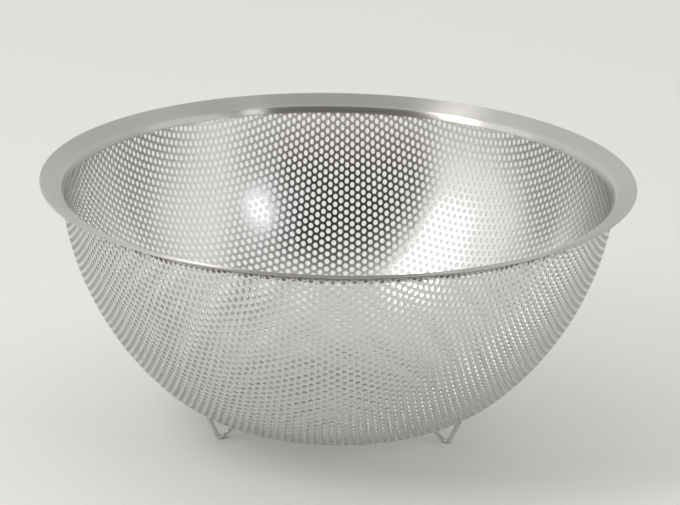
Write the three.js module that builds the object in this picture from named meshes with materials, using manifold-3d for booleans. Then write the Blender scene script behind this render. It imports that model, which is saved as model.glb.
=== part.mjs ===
// A footed strainer bowl: a deep punched sheet bowl, a plain rim ring lapped over its top edge,
// and three bent wire feet under its base. Millimetres, +Z up, origin on the surface it stands
// on, at the centre of the bowl.
import * as THREE from 'three';
import { mergeVertices } from 'three/addons/utils/BufferGeometryUtils.js';
import Module from 'manifold-3d';

// Driving dimensions.
const RIM_DIAMETER = 270;
const OVERALL_HEIGHT = 116;
const LAP_GAP = 0.3; // clearance kept between neighbouring pieces
const TURN_SEGMENTS = 60; // facets round every turned piece, the same for all so laps stay even

// Rim ring: a sloping flange, hemmed at its outer edge and bent down inside into a short collar.
const RING_SHEET = 0.5;
const FLANGE_SLOPE = radians(23);
const FLANGE_WIDTH = 8; // measured level, from the rim's edge to the bend
const COLLAR_BEND_RADIUS = 5; // on the face that shows
const COLLAR_END_ANGLE = radians(80); // steepness of the collar at its lower edge
const HEM_THICKNESS = 1.25;
const HEM_WIDTH = 4;
const HEM_STEPS = 6; // facets round the hem's edge

// Bowl: a flat base disc, a base arc, a wide wall arc, and a lip bent out under the ring.
const BOWL_SHEET = 0.7;
const WALL_LEAN = radians(6.6); // from upright, just under the rim
const WALL_ARC_RADIUS = 138; // radii are of the outer face
const SHOULDER_ANGLE = radians(46.5); // from upright, where the wall arc meets the base arc
const BASE_ARC_RADIUS = 72;
const LIP_WIDTH = 3;

// Feet: one round wire each, bent to a V in the upright plane through the axis.
const FOOT_WIRE_RADIUS = 1;
const FOOT_BEND_RADIUS = 2.6; // of the wire's centre line
const FOOT_STAND_RADIUS = 58.9; // from the axis to where a foot stands
const FOOT_OUTER_END_RADIUS = 65.3;
const FOOT_INNER_END_RADIUS = 50.8;
const FOOT_FLAT_DEPTH = 0.2; // ground off underneath, so that the bowl stands level
const FOOT_WIRE_SIDES = 10;
const FOOT_STEPS = 18;
const FOOT_AZIMUTHS = { foot_front_left: -150, foot_front_right: -30, foot_back: 90 };

// Centres in the (radius, height) plane: of the round hem at the edge, and of the bend that the
// collar and the bowl's lip share.
const HEM_RADIUS = HEM_THICKNESS / 2;
const HEM_CENTRE = new THREE.Vector2(RIM_DIAMETER / 2 - HEM_RADIUS, OVERALL_HEIGHT - HEM_RADIUS);
const ALONG_FLANGE = new THREE.Vector2(Math.cos(FLANGE_SLOPE), Math.sin(FLANGE_SLOPE));
const FLANGE_LENGTH = (FLANGE_WIDTH - HEM_RADIUS) / Math.cos(FLANGE_SLOPE);
const BEND_CENTRE = offsetPoint(HEM_CENTRE, FLANGE_SLOPE, HEM_RADIUS - COLLAR_BEND_RADIUS)
  .addScaledVector(ALONG_FLANGE, -FLANGE_LENGTH);

const wasm = await Module();
wasm.setup();

function radians(degrees) {
  return (degrees * Math.PI) / 180;
}

// A point moved square to a line that rises outward at the given slope; positive is up and inward.
function offsetPoint(point, slope, distance) {
  return new THREE.Vector2(
    point.x - Math.sin(slope) * distance,
    point.y + Math.cos(slope) * distance,
  );
}

// Points on a round stretch, by the slope of the surface at each one.
function bendPoints(radius, fromSlope, toSlope, steps) {
  return Array.from({ length: steps + 1 }, (_, i) =>
    offsetPoint(BEND_CENTRE, THREE.MathUtils.lerp(fromSlope, toSlope, i / steps), radius));
}

// Points on an arc that bulges outward, by the lean of its surface from upright.
function bulgePoints(centre, radius, fromLean, toLean, steps) {
  return Array.from({ length: steps + 1 }, (_, i) => {
    const lean = THREE.MathUtils.lerp(fromLean, toLean, i / steps);
    return new THREE.Vector2(
      centre.x + radius * Math.cos(lean),
      centre.y - radius * Math.sin(lean),
    );
  });
}

// A profile in the (radius, height) plane, turned round the Z axis.
function turned(profile) {
  const geometry = new THREE.LatheGeometry(profile, TURN_SEGMENTS);
  geometry.rotateX(Math.PI / 2);
  return geometry;
}

// Centres of the bowl's two arcs, and the height of its underside.
function bowlShape() {
  const neckRadius = COLLAR_BEND_RADIUS - RING_SHEET - LAP_GAP - BOWL_SHEET;
  const neck = offsetPoint(BEND_CENTRE, Math.PI / 2 - WALL_LEAN, neckRadius);
  const outward = (lean) => new THREE.Vector2(Math.cos(lean), -Math.sin(lean));
  const wallCentre = neck.clone().addScaledVector(outward(WALL_LEAN), -WALL_ARC_RADIUS);
  const shoulder = wallCentre.clone().addScaledVector(outward(SHOULDER_ANGLE), WALL_ARC_RADIUS);
  const baseCentre = shoulder.clone().addScaledVector(outward(SHOULDER_ANGLE), -BASE_ARC_RADIUS);
  return { neckRadius, wallCentre, baseCentre, underside: baseCentre.y - BASE_ARC_RADIUS };
}

// One face of the bowl's sheet, from the lip's edge to the axis; inset 0 is the outer face.
function bowlFace(shape, inset) {
  const bend = bendPoints(shape.neckRadius + inset, FLANGE_SLOPE, Math.PI / 2 - WALL_LEAN, 4);
  const lipEdge = bend[0].clone().addScaledVector(ALONG_FLANGE, LIP_WIDTH);
  const wall = bulgePoints(
    shape.wallCentre, WALL_ARC_RADIUS - inset, WALL_LEAN, SHOULDER_ANGLE, 8);
  const base = bulgePoints(
    shape.baseCentre, BASE_ARC_RADIUS - inset, SHOULDER_ANGLE, Math.PI / 2, 7);
  const centre = new THREE.Vector2(0, shape.underside + inset);
  return [lipEdge, ...bend, ...wall.slice(1), ...base.slice(1), centre];
}

function bowlGeometry(shape) {
  return turned([...bowlFace(shape, 0).reverse(), ...bowlFace(shape, BOWL_SHEET)]);
}

// The ring's section, once round: collar edge, underside, hem, top face, collar edge.
function ringGeometry() {
  const top = bendPoints(COLLAR_BEND_RADIUS, COLLAR_END_ANGLE, FLANGE_SLOPE, 5);
  const under = bendPoints(
    COLLAR_BEND_RADIUS - RING_SHEET, FLANGE_SLOPE, COLLAR_END_ANGLE, 5);
  const hem = Array.from({ length: HEM_STEPS + 1 }, (_, i) =>
    offsetPoint(HEM_CENTRE, FLANGE_SLOPE - (Math.PI * i) / HEM_STEPS, HEM_RADIUS));
  const hemEnd = hem.at(-1).clone().addScaledVector(ALONG_FLANGE, HEM_RADIUS - HEM_WIDTH);
  const step = offsetPoint(hemEnd, FLANGE_SLOPE, HEM_THICKNESS - RING_SHEET);
  const section = [...top, ...hem, hemEnd, step, ...under, top[0].clone()];
  return turned(section.reverse());
}

// A flat path standing in the upright plane at an azimuth.
class RadialPlaneCurve extends THREE.Curve {
  constructor(flatPath, azimuth) {
    super();
    this.flatPath = flatPath;
    this.azimuth = azimuth;
  }

  getPoint(t, target = new THREE.Vector3()) {
    const { x, y } = this.flatPath.getPoint(t);
    return target.set(x * Math.cos(this.azimuth), x * Math.sin(this.azimuth), y);
  }
}

// Where a wire's centre line ends, just clear of the base arc's outer face.
function footEnd(shape, endRadius) {
  const lean = Math.acos((endRadius - shape.baseCentre.x) / BASE_ARC_RADIUS);
  const fromCentre = BASE_ARC_RADIUS + LAP_GAP + FOOT_WIRE_RADIUS;
  return bulgePoints(shape.baseCentre, fromCentre, lean, lean, 1)[0];
}

// The angle, seen from the bend's centre, at which a straight leg to the end leaves the bend.
function legAngle(bendCentre, end, side) {
  const toEnd = end.clone().sub(bendCentre);
  return toEnd.angle() + side * Math.acos(FOOT_BEND_RADIUS / toEnd.length());
}

function footPath(shape) {
  const lowest = FOOT_WIRE_RADIUS - FOOT_FLAT_DEPTH;
  const bendCentre = new THREE.Vector2(FOOT_STAND_RADIUS, lowest + FOOT_BEND_RADIUS);
  const outerEnd = footEnd(shape, FOOT_OUTER_END_RADIUS);
  const innerEnd = footEnd(shape, FOOT_INNER_END_RADIUS);
  const path = new THREE.Path();
  const outerAngle = legAngle(bendCentre, outerEnd, -1);
  const innerAngle = legAngle(bendCentre, innerEnd, 1);
  const outerCorner = bulgePoints(bendCentre, FOOT_BEND_RADIUS, -outerAngle, -outerAngle, 1)[0];
  path.moveTo(outerEnd.x, outerEnd.y);
  path.lineTo(outerCorner.x, outerCorner.y);
  path.absarc(bendCentre.x, bendCentre.y, FOOT_BEND_RADIUS, outerAngle, innerAngle, true);
  path.lineTo(innerEnd.x, innerEnd.y);
  return path;
}

function footGeometry(shape, azimuth) {
  const section = new THREE.Shape();
  section.absarc(0, 0, FOOT_WIRE_RADIUS, 0, Math.PI * 2, false);
  const wire = new THREE.ExtrudeGeometry(section, {
    curveSegments: FOOT_WIRE_SIDES,
    steps: FOOT_STEPS,
    extrudePath: new RadialPlaneCurve(footPath(shape), azimuth),
  });
  return keptAbove(wire, 0);
}

// A closed geometry as a manifold-3d solid.
function asSolid(geometry) {
  const bare = geometry.clone();
  bare.deleteAttribute('normal');
  bare.deleteAttribute('uv');
  const merged = mergeVertices(bare, 1e-4);
  return new wasm.Manifold(new wasm.Mesh({
    numProp: 3,
    vertProperties: new Float32Array(merged.attributes.position.array),
    triVerts: new Uint32Array(merged.index.array),
  }));
}

function asGeometry(solid) {
  const mesh = solid.getMesh();
  const geometry = new THREE.BufferGeometry();
  geometry.setAttribute('position', new THREE.BufferAttribute(mesh.vertProperties, 3));
  geometry.setIndex(new THREE.BufferAttribute(mesh.triVerts, 1));
  geometry.computeVertexNormals();
  return geometry;
}

// What is left of a piece above a level cut.
function keptAbove(geometry, height) {
  const slab = new THREE.BoxGeometry(RIM_DIAMETER, RIM_DIAMETER, OVERALL_HEIGHT);
  slab.translate(0, 0, height - OVERALL_HEIGHT / 2);
  return asGeometry(asSolid(geometry).subtract(asSolid(slab)));
}

function steel(color, roughness) {
  return new THREE.MeshStandardMaterial({ color, roughness, metalness: 1 });
}

function part(name, geometry, material) {
  const mesh = new THREE.Mesh(geometry, material);
  mesh.name = name;
  return mesh;
}

const bowl = bowlShape();
const strainer = new THREE.Group();
strainer.name = 'strainer_bowl';
strainer.add(part('punched_bowl', bowlGeometry(bowl), steel(0xb4b4b0, 0.25)));
strainer.add(part('rim_ring', ringGeometry(), steel(0xb0b0a8, 0.4)));
for (const [name, azimuth] of Object.entries(FOOT_AZIMUTHS)) {
  strainer.add(part(name, footGeometry(bowl, radians(azimuth)), steel(0xc0c0bc, 0.15)));
}

export default strainer;
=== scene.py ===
# %% [markdown]
# # A footed strainer bowl
# The bowl has three kinds of piece: one disc of punched stainless sheet drawn into a deep bowl,
# a plain satin ring folded over its mouth, and three bent wire feet. The engineering model gives
# every piece its place and its outer shape. This lesson makes the pieces that show: the sheet
# with its thousands of holes, the folded ring and the welded feet, then their steels, the studio
# and the camera.
#
# The frame comes first. It is never moved, and all sizes here are in its metres.

import math

import bmesh
import bpy
import numpy as np
from mathutils import Matrix, Vector


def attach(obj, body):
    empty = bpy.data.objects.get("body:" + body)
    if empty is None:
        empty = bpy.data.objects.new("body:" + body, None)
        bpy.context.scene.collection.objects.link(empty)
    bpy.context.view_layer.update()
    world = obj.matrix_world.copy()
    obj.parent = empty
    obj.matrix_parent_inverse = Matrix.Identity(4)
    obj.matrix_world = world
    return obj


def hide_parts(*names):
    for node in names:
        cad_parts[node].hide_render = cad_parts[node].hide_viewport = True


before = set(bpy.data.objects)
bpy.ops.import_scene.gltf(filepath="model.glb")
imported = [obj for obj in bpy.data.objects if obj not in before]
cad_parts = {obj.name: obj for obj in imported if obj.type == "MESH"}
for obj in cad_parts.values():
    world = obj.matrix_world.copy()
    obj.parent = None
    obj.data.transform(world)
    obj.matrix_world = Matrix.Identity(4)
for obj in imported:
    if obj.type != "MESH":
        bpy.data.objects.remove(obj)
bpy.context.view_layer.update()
MM = 0.001


# %% [markdown]
# Three helpers serve every piece. One turns a bmesh into an object that rides on the frame, one
# marks the edges where two faces meet sharply, and a pen draws sections. The pen works as a
# person with a compass does: it goes straight, or it turns on a radius. Its straight line is a
# vertex extruded, and its turn is a vertex spun, so a section is never a typed list of points.

# %% Helpers for pieces
def finished_piece(name, bm, materials, node):
    mesh = bpy.data.meshes.new(name)
    bm.to_mesh(mesh)
    bm.free()
    for material in materials:
        mesh.materials.append(material)
    piece = bpy.data.objects.new(name, mesh)
    bpy.context.scene.collection.objects.link(piece)
    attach(piece, "root")
    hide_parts(node)
    print(name, len(mesh.vertices), "vertices", len(mesh.polygons), "faces")
    return piece


def shade(bm, sharp_from=math.radians(40)):
    """Smooth faces that meet sharply at edges past an angle."""
    for face in bm.faces:
        face.smooth = True
    for edge in bm.edges:
        edge.smooth = edge.calc_face_angle(0.0) < sharp_from


class Pen:
    """Draws in the upright plane through the axis: X is the distance from it, Z the height."""

    def __init__(self, bm, start, heading):
        self.bm = bm
        self.tip = bm.verts.new((start[0], 0, start[1]))
        self.heading = heading

    def straight(self, length):
        step = Vector((math.cos(self.heading), 0, math.sin(self.heading))) * length
        self.tip = bmesh.ops.extrude_vert_indiv(self.bm, verts=[self.tip])["verts"][0]
        self.tip.co += step

    def turn(self, radius, angle, steps):
        """Turns by an angle, left if it is positive and right if it is negative."""
        side = math.copysign(1, angle)
        left = Vector((-math.sin(self.heading), 0, math.cos(self.heading)))
        last = bmesh.ops.spin(
            self.bm, geom=[self.tip], cent=self.tip.co + left * radius * side,
            axis=(0, -1, 0), angle=angle, steps=steps)["geom_last"]
        self.tip = next(part for part in last if isinstance(part, bmesh.types.BMVert))
        self.heading += angle


# %% [markdown]
# Steel isn't one colour. Its look is in how rough it is, which way it was brushed and how that
# changes over a hand's breadth, so each finish is a small set of nodes. Two classes keep the
# nodes readable. A Reading is a node's output that can be added, multiplied and so on, and each
# such sign adds a Math node. A Finish is a material that adds any other node by its type, its
# settings and what goes into its sockets.

# %% Helpers for finishes
class Reading:
    """A node's output, for shader maths written as Python."""

    def __init__(self, finish, socket):
        self.finish, self.socket = finish, socket

    def maths(self, operation, *values):
        return self.finish.add("Math", {"operation": operation}, values)

    def __add__(self, other):
        return self.maths("ADD", self, other)

    def __sub__(self, other):
        return self.maths("SUBTRACT", self, other)

    def __rsub__(self, other):
        return self.maths("SUBTRACT", other, self)

    def __mul__(self, other):
        return self.maths("MULTIPLY", self, other)

    def __truediv__(self, other):
        return self.maths("DIVIDE", self, other)

    def __pow__(self, other):
        return self.maths("POWER", self, other)

    __radd__, __rmul__ = __add__, __mul__


class Finish:
    """A material, or the world's surroundings, built node by node."""

    def __init__(self, owner):
        owner.use_nodes = True
        self.owner, self.nodes, self.links = owner, owner.node_tree.nodes, owner.node_tree.links
        self.nodes.clear()

    def add(self, kind, settings=None, sockets=(), output=0):
        node = self.nodes.new("ShaderNode" + kind)
        for name, value in (settings or {}).items():
            setattr(node, name, value)
        named = sockets.items() if isinstance(sockets, dict) else enumerate(sockets)
        for key, value in named:
            if isinstance(value, Reading):
                self.links.new(value.socket, node.inputs[key])
            else:
                node.inputs[key].default_value = value
        return Reading(self, node.outputs[output])

    def place(self):
        """Where a point of the piece is, and its distance from the bowl's axis."""
        coords = self.add("TexCoord", output="Object")
        x, y, z = (self.add("SeparateXYZ", sockets=[coords], output=i) for i in range(3))
        return coords, x, y, z, (x * x + y * y) ** 0.5

    def noise(self, vector, scale, detail=2.0, roughness=0.5):
        return self.add("TexNoise", {"noise_dimensions": "3D"}, {
            "Vector": vector, "Scale": scale, "Detail": detail, "Roughness": roughness},
            output="Fac")

    def between(self, factor, low, high):
        """A number that goes from low to high as the factor goes from 0.3 to 0.7."""
        return self.add("MapRange", {"interpolation_type": "SMOOTHSTEP"}, {
            "Value": factor, "From Min": 0.3, "From Max": 0.7, "To Min": low, "To Max": high})

    def blend(self, factor, first, second):
        return self.add("Mix", {"data_type": "RGBA"}, {0: factor, 6: first, 7: second}, output=2)

    def surface(self, shader, **sockets):
        made = self.add(shader, sockets={k.replace("_", " "): v for k, v in sockets.items()})
        out = self.nodes.new("ShaderNodeOutputMaterial")
        self.links.new(made.socket, out.inputs["Surface"])
        return self.owner


def new_finish(name):
    return Finish(bpy.data.materials.new(name))


# %% [markdown]
# The sheet is bright: polished all over after it was drawn, then handled. Its roughness drifts
# in soft patches, fine streaks run up the wall where the drawing stretched it, and a fine grain
# stops the highlights from being perfect.

# %% Steel of the punched sheet
def sheet_steel():
    finish = new_finish("polished_sheet_steel")
    coords, x, y, z, radius = finish.place()
    patches = finish.noise(coords, 22.0, 3.0)
    grain = finish.noise(coords, 1500.0, 2.0)
    across = finish.add("CombineXYZ", sockets=[x / radius, y / radius, z * 0.8])
    streaks = finish.noise(across, 55.0, 3.0)
    colour = finish.blend(
        patches, (0.68, 0.675, 0.665, 1), (0.75, 0.745, 0.735, 1))
    bump = finish.add("Bump", sockets={
        "Strength": 0.25, "Distance": 0.00004, "Height": grain + streaks * 0.6})
    return finish.surface(
        "BsdfPrincipled", Base_Color=colour, Metallic=1.0,
        Roughness=finish.between(patches * 0.6 + streaks * 0.4, 0.19, 0.30), Normal=bump)


# %% [markdown]
# A punched hole has a wall of its own: the punch burnishes the first part of the cut and tears
# the rest, so the wall is duller than the sheet's face.

# %% Steel of the punched holes' walls
def cut_steel():
    finish = new_finish("punched_wall_steel")
    coords = finish.add("TexCoord", output="Object")
    tear = finish.noise(coords, 4000.0, 2.0)
    colour = finish.blend(tear, (0.56, 0.555, 0.55, 1), (0.68, 0.675, 0.67, 1))
    return finish.surface(
        "BsdfPrincipled", Base_Color=colour, Metallic=1.0,
        Roughness=finish.between(tear, 0.3, 0.45))


# %% [markdown]
# The ring is satin. It was brushed while it turned, so its scratches run round the bowl, and
# light spreads across them and hardly along them. That spread is the shader's own anisotropy,
# turned a quarter so that it lies across the ring. Faint bands of roughness and colour that run
# round the ring, from a noise read by distance from the axis, show where the brush pressed.

# %% Steel of the ring
BRUSH_LINES = 1600.0  # for each metre across the ring
COLLAR_OUT, FLANGE_IN = 124.5 * MM, 127.5 * MM  # the flange is rougher than the smooth bend


def ring_steel():
    finish = new_finish("satin_ring_steel")
    coords, x, y, z, radius = finish.place()
    rings = finish.add("CombineXYZ", sockets=[
        x / radius, y / radius, (radius + z * 0.7) * BRUSH_LINES])
    bands = finish.noise(rings, 1.0, 3.0)
    patches = finish.noise(coords, 18.0, 3.0)
    flange = finish.add("MapRange", {"interpolation_type": "SMOOTHSTEP"}, {
        "Value": radius, "From Min": COLLAR_OUT, "From Max": FLANGE_IN})
    colour = finish.blend(
        patches * 0.6 + bands * 0.4, (0.625, 0.612, 0.585, 1), (0.685, 0.672, 0.64, 1))
    bump = finish.add("Bump", sockets={
        "Strength": 0.15, "Distance": 0.00003, "Height": bands})
    return finish.surface(
        "BsdfPrincipled", Base_Color=colour, Metallic=1.0,
        Roughness=finish.between(patches * 0.5 + bands * 0.5, 0.26, 0.30) + flange * 0.10,
        Anisotropic=1.0, Anisotropic_Rotation=0.25, Normal=bump)


# %% [markdown]
# Foot wire is drawn through a die, which leaves it bright with a fine grain. It is duller low
# down, where it rubs on what the bowl stands on, so its roughness grows towards the floor.

# %% Steel of the feet
WORN_HEIGHT = 1.2 * MM


def wire_steel():
    finish = new_finish("bright_wire_steel")
    coords, _, _, z, _ = finish.place()
    drawn = finish.noise(coords, 900.0, 3.0)
    worn = finish.add("MapRange", {"interpolation_type": "SMOOTHSTEP"}, {
        "Value": z, "From Min": 0.0, "From Max": WORN_HEIGHT, "To Min": 1.0, "To Max": 0.0})
    bump = finish.add("Bump", sockets={
        "Strength": 0.2, "Distance": 0.00003, "Height": drawn})
    colour = finish.blend(drawn, (0.66, 0.655, 0.64, 1), (0.74, 0.735, 0.72, 1))
    return finish.surface(
        "BsdfPrincipled", Base_Color=colour, Metallic=1.0,
        Roughness=finish.between(drawn, 0.10, 0.18) + worn * 0.25, Normal=bump)


# %% [markdown]
# The bowl's sheet was a flat disc, punched in a tight hexagonal pattern and then drawn. So the
# lesson does the same: it punches the disc flat, gives it its thickness, and draws it.
#
# The pattern repeats a six-sided cell with a hole in it. A cell is a six-sided loop bridged to a
# twelve-sided hole. Cells are stamped over one sixth of the disc, merged, and trimmed round the
# edge. Lengths on the flat disc are in pitches, the distance from hole to hole. Six turned copies
# make the whole disc, in six pieces because one mesh of this many holes would be too heavy.

# %% One sixth of the punched disc
HOLE_SIDES = 12
HOLE_RADIUS = 0.352  # in pitches
CELL_RADIUS = 0.5 / math.cos(math.pi / 6)
LAST_HOLE = 47.7  # the farthest hole centre, in pitches from the middle
DISC_RADIUS = 48.28
TRIM_STEP = math.radians(2)
SIXTH = math.radians(60)
ROW_START = math.radians(30)  # the way that the first close row runs
SAME_POINT = 0.001  # in pitches


def stamp_mesh(punched):
    bm = bmesh.new()
    turned = Matrix.Rotation(math.radians(30), 4, "Z")
    bmesh.ops.create_circle(
        bm, segments=6, radius=CELL_RADIUS, cap_ends=not punched, matrix=turned)
    bmesh.ops.subdivide_edges(bm, edges=bm.edges[:], cuts=1)
    if punched:
        bmesh.ops.create_circle(bm, segments=HOLE_SIDES, radius=HOLE_RADIUS, matrix=turned)
        bmesh.ops.bridge_loops(bm, edges=bm.edges[:])
    mesh = bpy.data.meshes.new("stamp")
    bm.to_mesh(mesh)
    bm.free()
    return mesh


def stamp(bm, mesh, centre):
    before = len(bm.verts)
    bm.from_mesh(mesh)
    bm.verts.ensure_lookup_table()
    bmesh.ops.translate(bm, verts=bm.verts[before:], vec=centre)


def flat_sixth():
    bm = bmesh.new()
    stamps = {punched: stamp_mesh(punched) for punched in (True, False)}
    along, across = (
        Vector((math.cos(a), math.sin(a), 0)) for a in (ROW_START, ROW_START + SIXTH))
    reach = math.ceil(DISC_RADIUS) + 1
    for i in range(1, reach):
        for j in range(reach):
            centre = along * i + across * j
            if centre.length < DISC_RADIUS + CELL_RADIUS:
                stamp(bm, stamps[centre.length <= LAST_HOLE], centre)
    bmesh.ops.remove_doubles(bm, verts=bm.verts[:], dist=SAME_POINT)
    steps = round(SIXTH / TRIM_STEP)
    for k in range(-2, steps + 2):
        angle = ROW_START + (k + 0.5) * TRIM_STEP
        outward = Vector((math.cos(angle), math.sin(angle), 0))
        bmesh.ops.bisect_plane(
            bm, geom=bm.verts[:] + bm.edges[:] + bm.faces[:], dist=1e-5, clear_outer=True,
            plane_co=outward * DISC_RADIUS * math.cos(TRIM_STEP / 2), plane_no=outward)
    return bm


def with_centre_cell(sixth):
    """The same sixth with the disc's middle cell joined to its point."""
    bm = sixth.copy()
    stamp(bm, stamp_mesh(True), Vector())
    bmesh.ops.remove_doubles(bm, verts=bm.verts[:], dist=SAME_POINT)
    return bm


# %% [markdown]
# Thickness comes next, while the disc is flat: the face is extruded straight down, which walls
# every hole. The walls keep the second material, and the edges between them and the faces are
# sharp, as a punch leaves them.

# %% Thickness of the disc
SHEET = 0.7 * MM


def thicken(bm):
    made = bmesh.ops.extrude_face_region(bm, geom=bm.faces[:])["geom"]
    bmesh.ops.translate(
        bm, verts=[v for v in made if isinstance(v, bmesh.types.BMVert)], vec=(0, 0, -1))
    bmesh.ops.translate(bm, verts=bm.verts[:], vec=(0, 0, 0.5))
    bmesh.ops.recalc_face_normals(bm, faces=bm.faces[:])
    for face in bm.faces:
        face.material_index = int(abs(face.normal.z) < 0.5)
    shade(bm)


# %% [markdown]
# Drawing moves every point of the disc to its place on the bowl. The bowl's profile is walked
# from the middle of the base: a flat, two arcs that bulge outward, the tight bend under the ring
# and the lip. Each stretch has a length and a curvature, and adding up tiny steps gives radius,
# height and slope at any distance along the sheet.
#
# Drawing also stretches the pattern: the holes are farther apart up the wall than round it, and
# farther apart everywhere than on the flat disc. A smooth curve gives how many pitches from the
# middle a point at that distance started.

# %% Drawing the disc into a bowl
BASE_FLAT = 33.58 * MM
UNDERSIDE = 4.61 * MM
PROFILE = (  # length, and radius of the sheet's middle: positive bulges outward, 0 is straight
    (BASE_FLAT, 0.0),
    (54.40 * MM, 71.65 * MM),
    (95.86 * MM, 137.65 * MM),
    (4.06 * MM, -3.85 * MM),
    (3.0 * MM, 0.0),
)
STRETCH_SPAN = 190 * MM
STRETCH = (0.24428, 0.03086, -0.02214)  # pitches for each millimetre, by even powers of the span
LATTICE_TURN = math.radians(-0.72)
PROFILE_STEP = 0.02 * MM


def walk_profile():
    reach = sum(length for length, _ in PROFILE)
    ends = np.cumsum([length for length, _ in PROFILE])
    along = np.arange(0, reach + PROFILE_STEP, PROFILE_STEP)
    bends = np.array([1 / radius if radius else 0.0 for _, radius in PROFILE])
    bend = bends[np.minimum(np.searchsorted(ends, along), len(bends) - 1)]
    slope = np.concatenate([[0], np.cumsum((bend[1:] + bend[:-1]) / 2 * PROFILE_STEP)])
    middle = (slope[1:] + slope[:-1]) / 2
    radius = np.concatenate([[0], np.cumsum(np.cos(middle) * PROFILE_STEP)])
    height = np.concatenate([[0], np.cumsum(np.sin(middle) * PROFILE_STEP)])
    share = along / STRETCH_SPAN
    pitches = along / MM * (STRETCH[0] + STRETCH[1] * share**2 + STRETCH[2] * share**4)
    return pitches, radius, height + UNDERSIDE + SHEET / 2, slope


WALK = walk_profile()
print("disc radius in pitches %.2f, lip radius %.2f mm, lip height %.2f mm" % (
    WALK[0][-1], WALK[1][-1] / MM, WALK[2][-1] / MM))


def draw_into_bowl(mesh):
    flat = np.empty(len(mesh.vertices) * 3)
    mesh.vertices.foreach_get("co", flat)
    x, y, depth = flat.reshape(-1, 3).T
    azimuth, pitches = np.arctan2(y, x), np.hypot(x, y)
    radius, height, slope = (np.interp(pitches, WALK[0], column) for column in WALK[1:])
    radius = radius - np.sin(slope) * depth * SHEET
    height = height + np.cos(slope) * depth * SHEET
    drawn = np.stack([radius * np.cos(azimuth), radius * np.sin(azimuth), height], 1)
    mesh.vertices.foreach_set("co", drawn.ravel())
    mesh.update()


# %% [markdown]
# The flat sixth is punched once and copied, because the stamping is the slow part. The first copy
# also gets the cell in the middle. Each copy is thickened, turned to its place on the disc and
# then drawn, so that neighbours share the same border and the pattern runs on across it.

# %% The six pieces of the sheet
sheet_materials = [sheet_steel(), cut_steel()]
plain_sixth = flat_sixth()
for number in range(6):
    sixth = with_centre_cell(plain_sixth) if number == 0 else plain_sixth.copy()
    thicken(sixth)
    bmesh.ops.rotate(
        sixth, verts=sixth.verts[:], cent=(0, 0, 0),
        matrix=Matrix.Rotation(number * SIXTH + LATTICE_TURN, 3, "Z"))
    piece = finished_piece(
        f"punched_sheet_{number + 1}", sixth, sheet_materials, "punched_bowl")
    draw_into_bowl(piece.data)
plain_sixth.free()


# %% [markdown]
# The ring is one strip of sheet. Seen in section it is a flange that slopes down inward and is
# slightly crowned, with a tight bend and a short collar at its inner edge and a hem folded under
# its outer edge. The pen starts on top at the hem, goes round the fold and back along the
# underside, round the collar's edge and home along the top, with half-round edges on the cut
# sheet. The outline is then spun round the axis.

# %% The rim ring
RIM_RADIUS = 135 * MM
RIM_TOP = 116 * MM
RING_SHEET = 0.5 * MM
HEM = 1.25 * MM
HEM_RETURN = 4 * MM - HEM / 2
HEM_SLOPE = math.radians(19.5)
FLANGE_EDGE = 3.6 * MM
BENDS = (  # radius of the face that shows, and turn: flange, bend, and the collar's slow curve
    (35.65 * MM, math.radians(9)),
    (1.6 * MM, math.radians(31.5)),
    (11.52 * MM, math.radians(14)),
)
RING_STEPS = 288


def ring_section(bm):
    hem_top = Vector((RIM_RADIUS - HEM / 2, RIM_TOP - HEM / 2)) + Vector(
        (-math.sin(HEM_SLOPE), math.cos(HEM_SLOPE))) * HEM / 2
    pen = Pen(bm, hem_top, HEM_SLOPE)
    pen.turn(HEM / 2, -math.pi, 12)
    pen.straight(HEM_RETURN)
    pen.turn(RING_SHEET / 2, -math.pi, 6)
    pen.straight(HEM_RETURN)
    pen.turn(HEM / 2 - RING_SHEET, math.pi, 6)
    pen.straight(FLANGE_EDGE)
    for radius, turn in BENDS:
        pen.turn(radius - RING_SHEET, turn, 6)
    pen.turn(RING_SHEET / 2, -math.pi, 6)
    for radius, turn in reversed(BENDS):
        pen.turn(radius, -turn, 6)
    pen.straight(FLANGE_EDGE)
    print("the section closes within %.6f mm" % (
        (pen.tip.co - Vector((hem_top[0], 0, hem_top[1]))).length / MM))


def ring_mesh():
    bm = bmesh.new()
    ring_section(bm)
    bmesh.ops.remove_doubles(bm, verts=bm.verts[:], dist=1e-6)
    bmesh.ops.spin(
        bm, geom=bm.verts[:] + bm.edges[:], cent=(0, 0, 0), axis=(0, 0, 1),
        angle=2 * math.pi, steps=RING_STEPS, use_merge=True)
    bmesh.ops.recalc_face_normals(bm, faces=bm.faces[:])
    shade(bm)
    return bm


finished_piece("folded_rim_ring", ring_mesh(), [ring_steel()], "rim_ring")


# %% [markdown]
# A foot is one short wire. A disc is the wire's cut end: it is pushed along the outer leg, spun
# round the bend, and pushed along the inner leg, so each step leaves a stretch of wire behind.
# The underside of the bend is ground flat where the bowl stands, and a flattened weld bead joins
# each end to the sheet.

# %% The feet
WIRE = 1.0 * MM
WIRE_SIDES = 20
FOOT_BEND = 2.6 * MM
FOOT_STAND = Vector((58.9 * MM, 0, 0.8 * MM + FOOT_BEND))
BASE_CENTRE = Vector((33.58 * MM, 0, 76.61 * MM))
BASE_RADIUS = 72 * MM
WIRE_CLEARANCE = 0.75 * MM  # from the sheet to the middle of the wire's end
FOOT_AZIMUTHS = {"foot_front_left": -150, "foot_front_right": -30, "foot_back": 90}
FOOT_ENDS = (65.3 * MM, 50.8 * MM)  # from the axis: the outer end, then the inner
BEAD = (1.9 * MM, 1.5 * MM, 0.75 * MM)
BEAD_CLEARANCE = 0.1 * MM  # from the sheet to the middle of a bead


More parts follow.
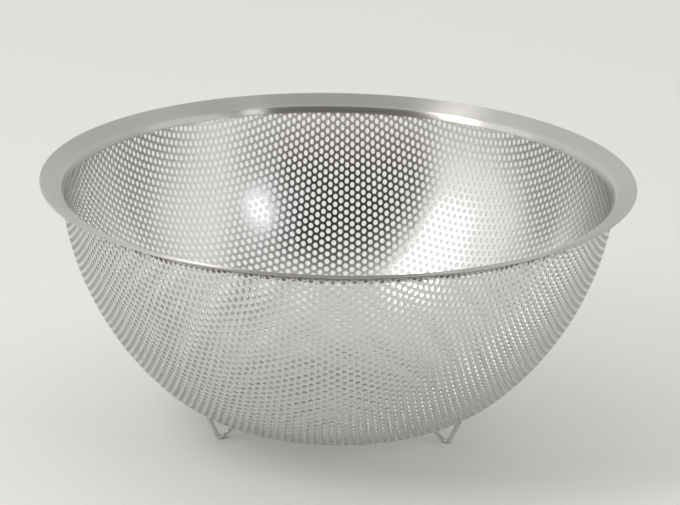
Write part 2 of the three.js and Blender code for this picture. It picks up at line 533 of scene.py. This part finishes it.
def on_base(radius, clearance):
    lean = math.acos((radius - BASE_CENTRE.x) / BASE_RADIUS)
    outward = Vector((math.cos(lean), 0, -math.sin(lean)))
    return BASE_CENTRE + outward * (BASE_RADIUS + clearance), outward


def push(bm, face, way):
    made = bmesh.ops.extrude_face_region(bm, geom=[face])["geom"]
    bmesh.ops.translate(bm, verts=[v for v in made if isinstance(v, bmesh.types.BMVert)], vec=way)
    return next(f for f in made if isinstance(f, bmesh.types.BMFace))


def foot_wire(bm, outer, inner):
    """A wire from the outer end, round the bend, to the inner end."""
    down = outer - FOOT_STAND
    lead = math.atan2(down.z, down.x) - math.acos(FOOT_BEND / down.length)
    up = inner - FOOT_STAND
    leave = math.atan2(up.z, up.x) + math.acos(FOOT_BEND / up.length)
    touch = [FOOT_STAND + FOOT_BEND * Vector((math.cos(a), 0, math.sin(a))) for a in (lead, leave)]
    leg = touch[0] - outer
    turned = leg.to_track_quat("Z", "Y").to_matrix().to_4x4()
    bmesh.ops.create_circle(
        bm, segments=WIRE_SIDES, radius=WIRE, cap_ends=True,
        matrix=Matrix.Translation(outer) @ turned)
    face = push(bm, bm.faces[:][0], leg)
    swept = bmesh.ops.spin(
        bm, geom=[face, *face.edges, *face.verts], cent=FOOT_STAND, axis=(0, 1, 0),
        angle=(lead - leave) % (2 * math.pi), steps=24)["geom_last"]
    face = next(f for f in swept if isinstance(f, bmesh.types.BMFace))
    push(bm, face, inner - touch[1])


def foot_mesh(azimuth):
    bm = bmesh.new()
    (outer, outer_way), (inner, inner_way) = (
        on_base(radius, WIRE_CLEARANCE) for radius in FOOT_ENDS)
    foot_wire(bm, outer, inner)
    cut = bmesh.ops.bisect_plane(
        bm, geom=bm.verts[:] + bm.edges[:] + bm.faces[:], dist=1e-7,
        plane_co=(0, 0, 0), plane_no=(0, 0, -1), clear_outer=True)["geom_cut"]
    bmesh.ops.holes_fill(bm, edges=[e for e in cut if isinstance(e, bmesh.types.BMEdge)])
    for radius, way in zip(FOOT_ENDS, (outer_way, inner_way)):
        spot = on_base(radius, BEAD_CLEARANCE)[0]
        matrix = (Matrix.Translation(spot) @ way.to_track_quat("Z", "Y").to_matrix().to_4x4()
                  @ Matrix.Diagonal((*BEAD, 1)))
        bmesh.ops.create_icosphere(bm, subdivisions=3, radius=1.0, matrix=matrix)
    bmesh.ops.recalc_face_normals(bm, faces=bm.faces[:])
    shade(bm)
    bmesh.ops.rotate(
        bm, verts=bm.verts[:], cent=(0, 0, 0),
        matrix=Matrix.Rotation(math.radians(azimuth), 3, "Z"))
    return bm


foot_steel = wire_steel()
for node, azimuth in FOOT_AZIMUTHS.items():
    finished_piece("bent_" + node, foot_mesh(azimuth), [foot_steel], node)


# %% [markdown]
# The studio is a pale floor that reaches far past the picture. Polished steel shows little of
# itself: it shows the room. So the room is made for the steel, as a photographer builds a white
# tent round a bowl and leaves it open towards the camera. The opening is what makes the steel
# dark in the middle, and the tent's two sides make it bright to the left and right.

# %% The floor
FLOOR_RADIUS = 8.0


def floor_finish():
    finish = new_finish("pale_floor")
    coords = finish.add("TexCoord", output="Object")
    patches = finish.noise(coords, 2.0, 2.0)
    colour = finish.blend(patches, (0.83, 0.82, 0.80, 1), (0.845, 0.835, 0.815, 1))
    return finish.surface("BsdfPrincipled", Base_Color=colour, Roughness=0.55)


floor_bm = bmesh.new()
bmesh.ops.create_circle(floor_bm, segments=96, radius=FLOOR_RADIUS, cap_ends=True)
floor_mesh = bpy.data.meshes.new("floor")
floor_bm.to_mesh(floor_mesh)
floor_bm.free()
floor_mesh.materials.append(floor_finish())
floor = bpy.data.objects.new("floor", floor_mesh)
bpy.context.scene.collection.objects.link(floor)


# %% [markdown]
# Two soft boxes make the two bright patches inside the bowl and the glints on the ring: a tall
# one to the left, and a smaller, weaker and slightly blue one to the right. Two broad lamps light
# the floor, from above and low in front. They are kept out of reflections, because the steel
# should show the tent there.

# %% The lights
BOWL_MIDDLE = Vector((0, 0, 70 * MM))
BOX_DISTANCE, LAMP_DISTANCE = 1.5, 2.0
LEFT_WHITE, RIGHT_WHITE = (1.0, 0.99, 0.97), (0.93, 0.97, 1.0)


def toward(azimuth, elevation):
    """A direction, by degrees round to the right of the camera's side and degrees up."""
    a, e = math.radians(azimuth), math.radians(elevation)
    return math.sin(a) * math.cos(e), -math.cos(a) * math.cos(e), math.sin(e)


def soft_box(name, way, distance, width, height, radiance, colour=(1, 1, 1)):
    light = bpy.data.lights.new(name, "AREA")
    light.shape, light.size, light.size_y = "RECTANGLE", width, height
    light.energy = radiance * math.pi * width * height
    light.color = colour
    holder = bpy.data.objects.new(name, light)
    holder.location = BOWL_MIDDLE + Vector(way).normalized() * distance
    holder.rotation_mode = "QUATERNION"
    holder.rotation_quaternion = (BOWL_MIDDLE - holder.location).to_track_quat("-Z", "Y")
    holder.visible_camera = False
    bpy.context.scene.collection.objects.link(holder)
    return holder


soft_box("left_soft_box", toward(-61.5, 44), BOX_DISTANCE, 0.34, 0.88, 5.5, LEFT_WHITE)
soft_box("right_soft_box", toward(41.5, 32), BOX_DISTANCE, 0.22, 0.30, 3.4, RIGHT_WHITE)
for unreflected in (
        soft_box("floor_light", (-0.1, 0.40, 1.5), LAMP_DISTANCE, 3.4, 2.8, 0.36),
        soft_box("under_light", (0.0, -1.0, 0.28), LAMP_DISTANCE, 2.8, 1.2, 0.46)):
    unreflected.visible_glossy = False


# %% [markdown]
# The tent is the world's own light, given by direction. Two readings place its panels: how far a
# direction leans to the right, and the angle from the camera's side over the top to the back.
# The opening in front reaches nearly two thirds of the way up to the point overhead, where the
# roof begins. Low down in the opening the room beyond shows, a little warmer than the tent.
# Every panel has a strength, and every border is soft between two numbers: leans for the sides,
# degrees climbed from the front for the rest.

# %% The white tent
OPENING, ROOM_BEYOND, LEFT_PANEL, RIGHT_FLAP, RIGHT_PANEL = 0.02, 0.22, 1.15, 0.40, 0.95
BACK_PANEL, BACK_LEFT, ROOF = 0.68, 0.17, 0.76
WHITE, WARM = (1, 0.995, 0.985, 1), (1, 0.82, 0.66, 1)
LEFT_EDGE, FLAP_EDGE, RIGHT_EDGE = (0.60, 0.71), (0.42, 0.50), (0.66, 0.76)
BACK_LEFT_EDGE = (0.0, 0.5)
ROOM_TOP, ROOF_EDGE, BACK_EDGE = (11, 17), (54, 62), (88, 108)

world = bpy.data.worlds.new("white_tent")
bpy.context.scene.world = world
room = Finish(world)
way = room.add("TexCoord", output="Generated")
x, y, z = (room.add("SeparateXYZ", sockets=[way], output=i) for i in range(3))
over_the_top = room.add("Math", {"operation": "ARCTAN2"}, [z, 0.0 - y])


def step(value, start, end):
    """0 up to the start and 1 from the end, with a soft edge between."""
    return room.add("MapRange", {"interpolation_type": "SMOOTHSTEP"}, {
        "Value": value, "From Min": start, "From Max": end})


def climbed(start, end):
    return step(over_the_top, math.radians(start), math.radians(end))


left, flap, far_right = step(0.0 - x, *LEFT_EDGE), step(x, *FLAP_EDGE), step(x, *RIGHT_EDGE)
open_front = (1.0 - left) * (1.0 - flap)
low_room = open_front * (1.0 - climbed(*ROOM_TOP))
front = (open_front * OPENING + low_room * (ROOM_BEYOND - OPENING) + left * LEFT_PANEL
         + flap * RIGHT_FLAP + far_right * (RIGHT_PANEL - RIGHT_FLAP))
roofed = climbed(*ROOF_EDGE)
panels = front * (1.0 - roofed * open_front) + roofed * open_front * ROOF
back = BACK_PANEL + step(0.0 - x, *BACK_LEFT_EDGE) * BACK_LEFT
behind = climbed(*BACK_EDGE)
background = room.add("Background", sockets={
    "Color": room.blend(low_room, WHITE, WARM),
    "Strength": panels * (1.0 - behind) + back * behind})
world_out = room.nodes.new("ShaderNodeOutputWorld")
room.links.new(background.socket, world_out.inputs["Surface"])


# %% [markdown]
# The camera stands well back with a long lens, a little above the rim and looking down at it.
# Its pose is the distance from the mouth's middle, how high it looks from, and three small turns.

# %% The camera
CAMERA_DISTANCE = 1767.3 * MM
CAMERA_HEIGHT_ANGLE = math.radians(17.788)
PAN, TILT, ROLL = (math.radians(a) for a in (0.043, -1.096, 1.078))
LENS, SENSOR = 206.75, 36.0
NEAREST, FARTHEST = 0.1, 50

mouth = Vector((0, 0, RIM_TOP))
stand = Vector((0, -math.cos(CAMERA_HEIGHT_ANGLE), math.sin(CAMERA_HEIGHT_ANGLE)))
sideways = Vector((1, 0, 0))
upward = sideways.cross(-stand)
sight = (-stand * math.cos(TILT) * math.cos(PAN) + upward * math.sin(TILT)
         + sideways * math.sin(PAN) * math.cos(TILT)).normalized()
level = sight.cross(upward).normalized()
lifted = level.cross(sight)
right = level * math.cos(ROLL) + lifted * math.sin(ROLL)
up = lifted * math.cos(ROLL) - level * math.sin(ROLL)

camera_data = bpy.data.cameras.new("camera")
camera_data.lens, camera_data.sensor_width = LENS, SENSOR
camera_data.clip_start, camera_data.clip_end = NEAREST, FARTHEST
camera = bpy.data.objects.new("camera", camera_data)
bpy.context.scene.collection.objects.link(camera)
camera.matrix_world = Matrix.Translation(mouth + stand * CAMERA_DISTANCE) @ Matrix(
    (right, up, -sight)).transposed().to_4x4()
bpy.context.scene.camera = camera
bpy.context.scene.view_settings.view_transform = "Standard"
print("camera at", tuple(round(c, 3) for c in camera.matrix_world.translation))


# %% [markdown]
# Last, the scene is brought up to date. The finish pieces change how the bowl looks
# and not how big it is.

# %% The end
bpy.context.view_layer.update()
